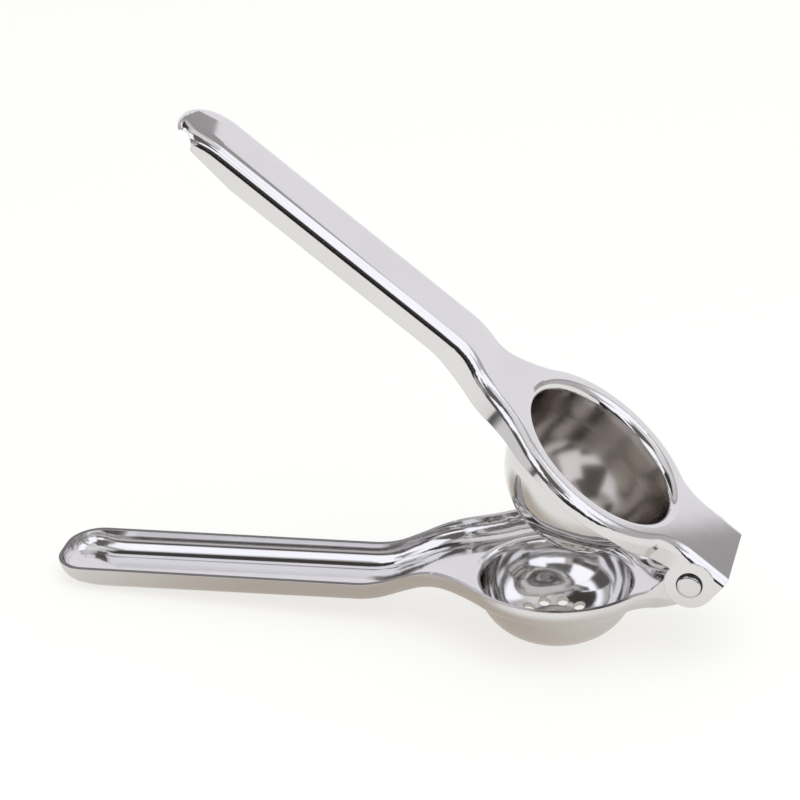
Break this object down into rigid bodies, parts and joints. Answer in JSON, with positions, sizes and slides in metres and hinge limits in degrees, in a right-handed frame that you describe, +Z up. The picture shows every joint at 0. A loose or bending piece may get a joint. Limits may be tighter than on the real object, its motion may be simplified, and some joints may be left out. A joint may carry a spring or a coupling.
{
  "type": "lemon squeezer",
  "caption": "Hand lemon squeezer: a channel lever with a drilled bowl and a hinged channel lever with a domed press cup, riveted together at one end.",
  "frame": {"origin": "on the table, at the centre of the bowl's flat foot", "axes": "+X from the bowl to the hinge, both handles to -X, +Y along the hinge pin, +Z up"},
  "size_m": [0.2185, 0.0688, 0.1632],
  "materials": {
    "bowl_lever_steel": "mirror-polished stainless sheet",
    "press_lever_steel": "mirror-polished stainless sheet",
    "rivet_steel": "polished stainless, slightly duller than the levers"
  },
  "bodies": {
    "lower": {"bowl_lever": "bowl_lever_steel"},
    "upper": {"press_lever": "press_lever_steel", "hinge_pin": "rivet_steel"}
  },
  "joints": [
    {"name": "lever_hinge", "type": "hinge", "parent": "lower", "child": "upper", "pos_m": [0.044, 0, 0.03], "axis": [0, 1, 0], "range_deg": [-37.5, 70]}
  ]
}
